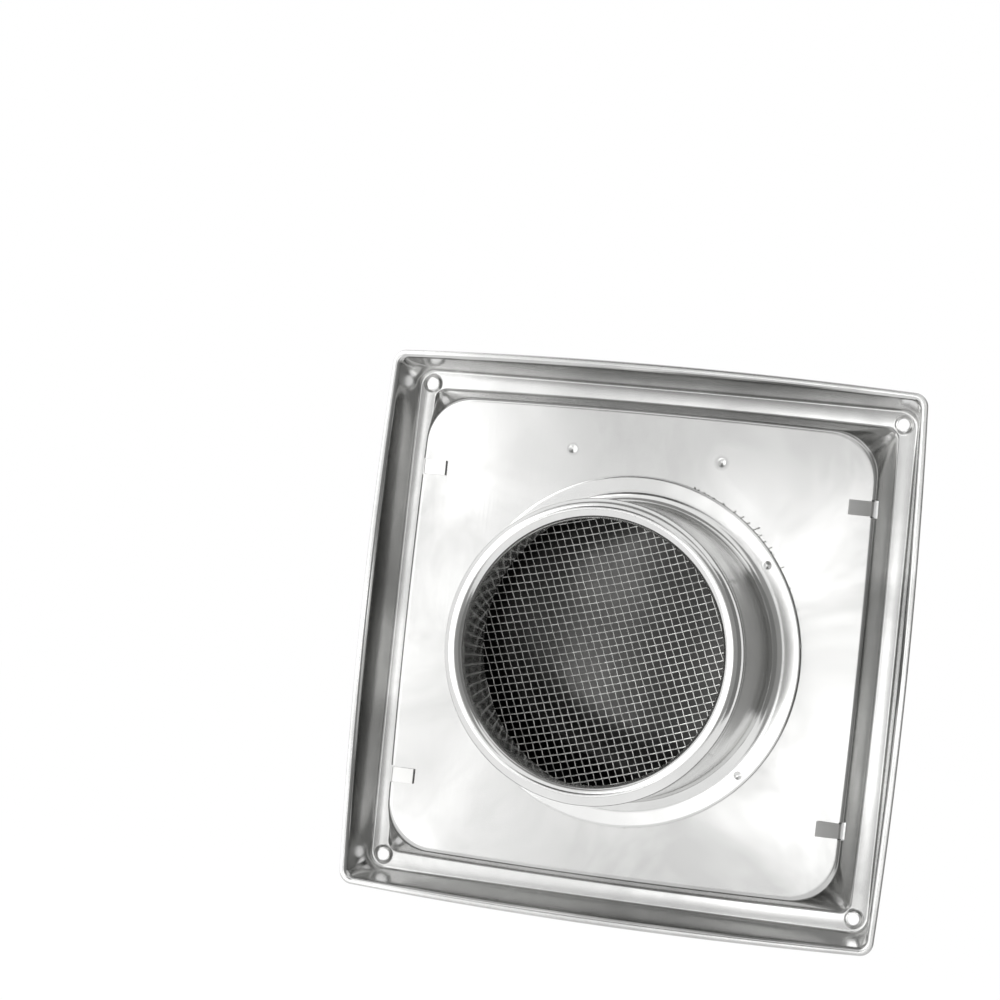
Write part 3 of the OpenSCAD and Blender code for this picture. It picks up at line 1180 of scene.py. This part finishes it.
    def notch(self) -> Shell:
        """The slanting cut at the lower back corner of both cheeks.

        Returns:
            The cutter's skin.
        """
        up = self.low + self.notch_up * (1 + 1 / self.notch_on)
        on = self.back - self.notch_on * (1 + 1 / self.notch_up)
        flat = np.array([[up, self.back + 1], [self.low - 1, on], [self.low - 1, self.back + 1]])
        return self.pressed(flat, -self.half - 1, self.half + 1, "x")

    def build(self) -> bpy.types.Object:
        """Folds the hood and dresses it.

        Returns:
            The finished piece.
        """
        piece = mesh_object("folded_front_hood", self.skin())
        combine(piece, self.notch(), "DIFFERENCE")
        tabs = [self.tab(side, z) for side in (-1, 1) for z in (-self.tab_z, self.tab_z)]
        combine(piece, gather([self.top_flange(), *tabs]), "UNION")
        # Type 304 stainless, brushed across: soft highlights drawn out along the fine lines.
        steel = Steel(
            "satin_stainless_hood",
            bright="#D6D6D5",
            dull="#C2C2C0",
            rough_low=0.28,
            rough_high=0.36,
            grain=Grain.ACROSS,
            grain_mm=0.35,
            grain_depth_mm=0.006,
            wave_mm=70,
            wave_depth_mm=0.2,
        )
        finish_piece(piece, "front_hood", steel.material())
        # Painted shade: the hood's inner faces get a far darker steel.
        self.paint_shade_inside(piece)
        return piece

    def paint_shade_inside(self, piece: bpy.types.Object) -> None:
        """Paints shade on the inner side of the sheet: its faces get a far darker steel, which stands in for
        the shade inside the hood.

        A face is an inner one where its centre lies nine tenths of the sheet or more behind the outer
        skin. That distance is e - |(e - s, e - f)|, with e the front edge's radius, s the distance in
        from the cheeks and top, f the distance behind the bowed front, and no part below zero.

        Args:
            piece: The dressed hood.
        """
        faces = piece.data.polygons
        centres = np.empty(3 * len(faces))
        faces.foreach_get("center", centres)
        x, y, z = (centres.reshape(-1, 3) / MM).T
        straight = self.half - self.corner
        past = np.hypot(np.clip(np.abs(x) - straight, 0, None), np.clip(z - straight, 0, None))
        from_side = np.clip(self.edge_r - (self.corner - past), 0, None)
        from_front = np.clip(self.edge_r - (y - self.bow(x)), 0, None)
        behind = self.edge_r - np.hypot(from_side, from_front)
        inner = (behind > 0.9 * self.sheet) & (y < self.back - 0.1)
        # Painted shade: the same steel made far darker on the inside of the hood, standing in for the shade
        # that falls there.
        painted_shade_inside = Steel(
            "dull_stainless_mill_side",
            bright="#4C4C4B",
            dull="#3C3C3B",
            rough_low=0.10,
            rough_high=0.16,
        )
        piece.data.materials.append(painted_shade_inside.material())
        faces.foreach_set("material_index", inner.astype(np.int32))


@dataclass
class Studio:
    """A plain white studio: floor, soft lamps, grey cards that the steel reflects, and the camera."""

    camera_mm: tuple[float, float, float] = (-206.79, 912.24, 24.77)
    camera_turn_deg: tuple[float, float, float] = (91.184, -6.007, -164.167)
    lens_mm: float = 98.55
    floor_z: float = -0.42
    floor_half: float = 6.0
    floor_glow: float = 1.03
    floor_share: float = 0.9
    world_as_lamp: float = 0.8

    def camera(self) -> None:
        """Sets the camera where the photograph's geometry puts it."""
        data = bpy.data.cameras.new("camera")
        data.lens = self.lens_mm
        data.sensor_width = 36.0
        data.clip_start = 0.01
        seen = bpy.data.objects.new("camera", data)
        seen.location = [c * MM for c in self.camera_mm]
        seen.rotation_euler = [math.radians(a) for a in self.camera_turn_deg]
        bpy.context.scene.collection.objects.link(seen)
        bpy.context.scene.camera = seen

    def background(self) -> None:
        """Makes the world white for what sees it directly or in the steel, and softer as a lamp."""
        world = bpy.data.worlds.new("white_studio")
        bpy.context.scene.world = world
        tree = empty_tree(world)
        strength = add_node(
            tree,
            "ShaderNodeMapRange",
            {"To Min": self.world_as_lamp, "To Max": 1.0},
            Value=self.seen_directly(tree),
        )
        light = add_node(
            tree, "ShaderNodeBackground", {"Color": linear("#FFFFFF")}, Strength=strength.outputs["Result"]
        )
        add_node(tree, "ShaderNodeOutputWorld", Surface=light.outputs[0])

    @staticmethod
    def seen_directly(tree: bpy.types.NodeTree) -> bpy.types.NodeSocket:
        """Adds up the rays that come from the camera, a reflection or a transmission.

        Args:
            tree: The node tree.

        Returns:
            1 for such a ray, and 0 for light on a dull surface.
        """
        path = add_node(tree, "ShaderNodeLightPath").outputs
        return most_of(tree, path["Is Camera Ray"], path["Is Glossy Ray"], path["Is Transmission Ray"])

    def sheet_of(self, name: str, corners: np.ndarray, material: bpy.types.Material) -> bpy.types.Object:
        """Makes one flat sheet of the stage.

        Args:
            name: Its name.
            corners: Its four corners, in metres.
            material: Its material.

        Returns:
            The sheet, marked as part of the stage.
        """
        mesh = bpy.data.meshes.new(name)
        mesh.from_pydata(corners.tolist(), [], [[0, 1, 2, 3]])
        mesh.materials.append(material)
        made = bpy.data.objects.new(name, mesh)
        bpy.context.scene.collection.objects.link(made)
        return made

    def floor(self) -> None:
        """Lays a pale floor that is white to the eye and still keeps the cap's shadow."""
        material = bpy.data.materials.new("pale_floor")
        tree = empty_tree(material)
        matt = add_node(tree, "ShaderNodeBsdfDiffuse", {"Color": linear("#F6F6F6")})
        glow = add_node(
            tree, "ShaderNodeEmission", {"Color": linear("#FFFFFF"), "Strength": self.floor_glow}
        )
        share = add_node(
            tree,
            "ShaderNodeMapRange",
            {"To Min": 0.0, "To Max": self.floor_share},
            Value=self.seen_directly(tree),
        )
        parts = {"in_0": share.outputs["Result"], "in_1": matt.outputs[0], "in_2": glow.outputs[0]}
        mixed = add_node(tree, "ShaderNodeMixShader", **parts)
        add_node(tree, "ShaderNodeOutputMaterial", Surface=mixed.outputs[0])
        h = self.floor_half
        corners = np.array([[-h, -h, 0], [h, -h, 0], [h, h, 0], [-h, h, 0]]) + [0, 0, self.floor_z]
        self.sheet_of("floor", corners, material)

    def card(
        self, name: str, shade: str, right_deg: tuple[float, float], up_deg: tuple[float, float], away: float
    ) -> None:
        """Stands a grey card where the steel reflects it, out of the camera's own sight.

        Directions are as seen by someone who looks out from the cap's back: degrees to the photograph's
        right of +Y, and degrees up.

        Args:
            name: The card's name.
            shade: Its colour.
            right_deg: Directions of its two sides.
            up_deg: Directions of its lower and upper edge.
            away: Its distance in metres.
        """
        material = bpy.data.materials.new(name)
        tree = empty_tree(material)
        glow = add_node(tree, "ShaderNodeEmission", {"Color": linear(shade), "Strength": 1.0})
        add_node(tree, "ShaderNodeOutputMaterial", Surface=glow.outputs[0])
        corners = [
            self.direction(right_deg[i], up_deg[j]) * away for i, j in ((0, 0), (1, 0), (1, 1), (0, 1))
        ]
        made = self.sheet_of(name, np.array(corners), material)
        made.visible_camera = False
        made.visible_diffuse = False
        made.visible_shadow = False

    @staticmethod
    def direction(right_deg: float, up_deg: float) -> np.ndarray:
        """A unit vector that many degrees to the photograph's right of +Y, and up."""
        right, up = math.radians(right_deg), math.radians(up_deg)
        return np.array([-math.sin(right) * math.cos(up), math.cos(right) * math.cos(up), math.sin(up)])

    def lamp(
        self,
        name: str,
        right_deg: tuple[float, float],
        up_deg: tuple[float, float],
        away: float,
        bright: float,
    ) -> None:
        """Hangs one soft box that faces the cap.

        Its power is bright x pi x area, so that a white surface next to it would look as bright as it.

        Args:
            name: The lamp's name.
            right_deg: Directions of its two sides.
            up_deg: Directions of its lower and upper edge.
            away: Its distance in metres.
            bright: How bright it looks, where the world is 1.
        """
        data = bpy.data.lights.new(name, "AREA")
        data.shape = "RECTANGLE"
        data.size = 2 * away * math.tan(math.radians(right_deg[1] - right_deg[0]) / 2)
        data.size_y = 2 * away * math.tan(math.radians(up_deg[1] - up_deg[0]) / 2)
        data.energy = bright * math.pi * data.size * data.size_y
        made = bpy.data.objects.new(name, data)
        towards = self.direction(sum(right_deg) / 2, sum(up_deg) / 2)
        made.location = towards * away
        made.rotation_euler = Vector(towards.tolist()).to_track_quat("Z", "Y").to_euler()
        bpy.context.scene.collection.objects.link(made)

    def build(self) -> None:
        """Sets up the whole studio."""
        self.camera()
        self.background()
        self.floor()
        self.card("grey_card_right", "#9C9C9B", (7, 50), (-28, 30), 1.6)
        self.card("dark_card_right", "#7E7E7D", (48, 96), (-50, 42), 1.5)
        self.card("grey_card_above", "#929291", (-60, 60), (38, 84), 1.7)
        self.card("pale_card_between", "#E0E0E0", (-16.5, -11.5), (-1, 9), 1.7)
        self.card("flag_above_key", "#4C4C4B", (-20, -5), (10, 26), 1.7)
        self.card("flag_below_key", "#4C4C4B", (-20, -5), (-26, -13), 1.7)
        self.lamp("left_soft_box", (-58, -18), (-32, 34), 1.8, 1.32)
        self.lamp("key_soft_box", (-11, -3), (-7, 2), 2.0, 2.1)
        self.lamp("front_soft_box", (140, 190), (10, 50), 1.8, 1.4)
        bpy.context.scene.view_settings.view_transform = "Standard"


def main() -> None:
    """Builds every piece and the studio."""
    logging.basicConfig(level=logging.INFO, format="%(name)s: %(message)s")
    for part in (FacePan(), DuctCollar(), InsectMesh(), FrontHood()):
        part.build()
    Studio().build()
    LOG.info("sizes written")


if __name__ == "__main__":
    main()
